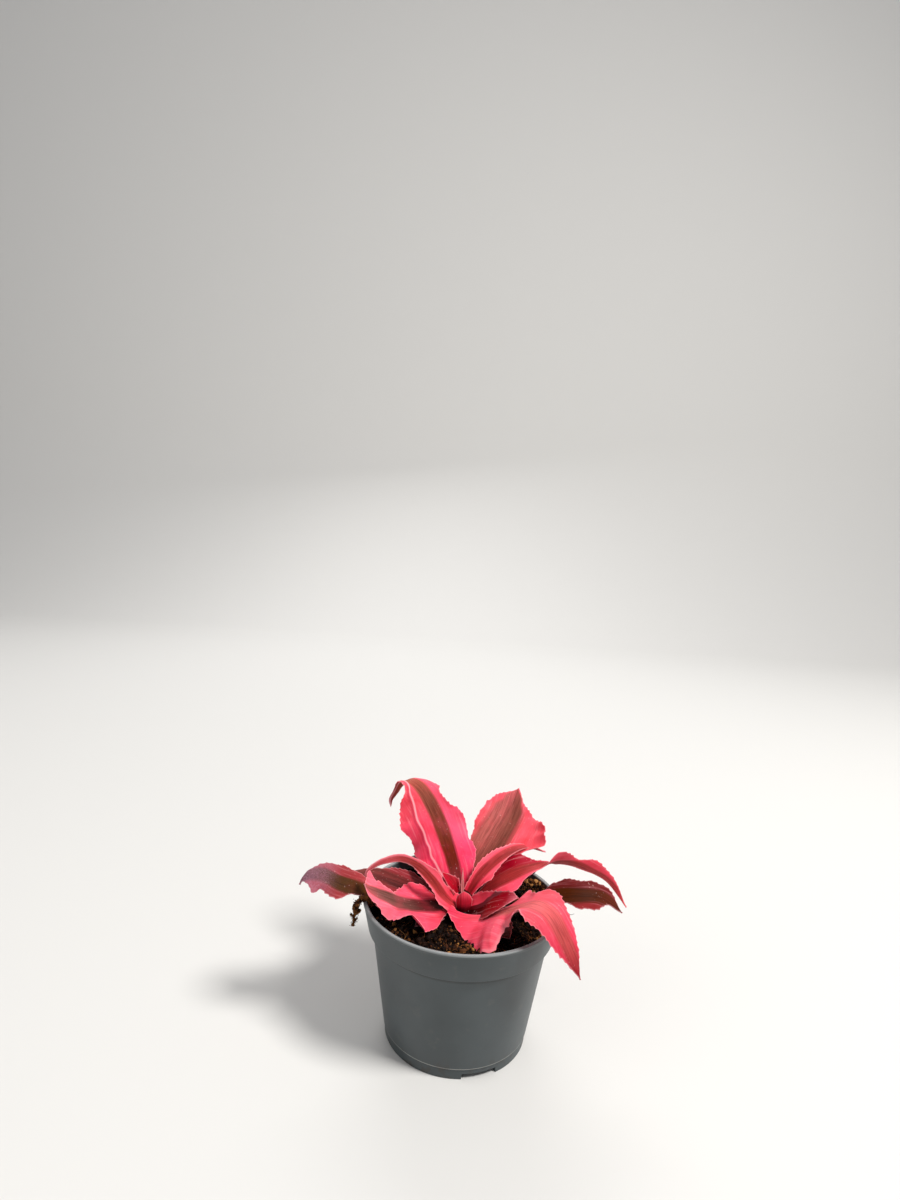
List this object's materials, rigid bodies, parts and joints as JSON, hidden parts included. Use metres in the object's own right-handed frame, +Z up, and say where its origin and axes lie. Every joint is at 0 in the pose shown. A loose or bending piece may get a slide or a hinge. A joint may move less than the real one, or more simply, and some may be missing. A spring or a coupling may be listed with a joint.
{
  "type": "earth star plant",
  "caption": "Potted earth star: a low rosette of wavy, finely toothed pink leaves with a brown midband, in dark soil in a small round nursery pot.",
  "frame": {"origin": "middle of the circle of the pot's foot, on the surface that the pot stands on", "axes": "+Z up along the pot's axis, +X to the right and +Y away from the viewer, seen from the plant's front"},
  "size_m": [0.1508, 0.105, 0.1014],
  "materials": {
    "pot_plastic": "dark grey injection-moulded polypropylene, satin",
    "peat_soil": "damp black peat with brown coir crumbs",
    "stem_tissue": "fleshy red stem",
    "root_fibre": "dry brown root fibre",
    "leaf_tissue": "pink leaf blade with a brown midband and pale toothed edges, satin"
  },
  "bodies": {
    "root": {"nursery_pot": "pot_plastic", "potting_soil": "peat_soil", "short_stem": "stem_tissue", "dry_root": "root_fibre", "leaf_tall_left": "leaf_tissue", "leaf_tall_right": "leaf_tissue", "leaf_right_arching": "leaf_tissue", "leaf_right_long": "leaf_tissue", "leaf_right_low": "leaf_tissue", "leaf_front_right": "leaf_tissue", "leaf_left_front": "leaf_tissue", "leaf_left_arching": "leaf_tissue", "leaf_left_low": "leaf_tissue", "leaf_far_left": "leaf_tissue", "leaf_front_inner": "leaf_tissue", "leaf_left_inner": "leaf_tissue", "leaf_heart_left": "leaf_tissue", "leaf_heart_front": "leaf_tissue", "leaf_heart_spear": "leaf_tissue", "leaf_low_front_left": "leaf_tissue", "leaf_low_front_right": "leaf_tissue", "leaf_back_right": "leaf_tissue", "leaf_back_left": "leaf_tissue"}
  },
  "joints": []
}
